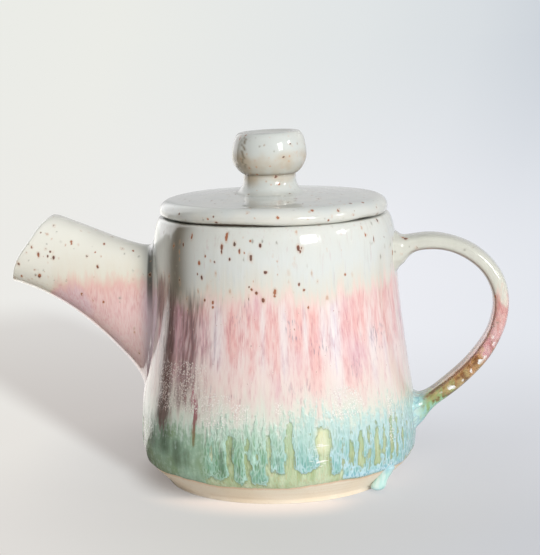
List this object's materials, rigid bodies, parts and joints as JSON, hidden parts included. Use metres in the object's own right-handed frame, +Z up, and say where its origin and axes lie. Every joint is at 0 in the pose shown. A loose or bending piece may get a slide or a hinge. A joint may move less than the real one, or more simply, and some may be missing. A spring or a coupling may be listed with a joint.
{
  "type": "teapot",
  "caption": "Small wheel-thrown stoneware teapot with a flared spout, a strap handle, a strainer and a lift-off lid, glazed white to pink to turquoise above a bare clay foot.",
  "frame": {"origin": "centre of the foot ring, on the surface that the teapot stands on", "axes": "+Z up through the lid, -X towards the spout, +X towards the handle, -Y the side that the picture shows"},
  "size_m": [0.2083, 0.116, 0.1463],
  "materials": {
    "pot_glaze": "gloss",
    "lid_glaze": "gloss",
    "run_glaze": "gloss",
    "bare_clay": "matt, unglazed"
  },
  "bodies": {
    "pot": {"pot_body": "pot_glaze", "spout": "pot_glaze", "handle": "pot_glaze", "glaze_drip": "run_glaze"},
    "lid": {"lid_plate": "lid_glaze", "lid_flange": "bare_clay", "knob": "lid_glaze"}
  },
  "joints": [
    {"name": "lid_lift", "type": "slide", "parent": "pot", "child": "lid", "axis": [0, 0, 1], "range_m": [0, 0.06]}
  ]
}
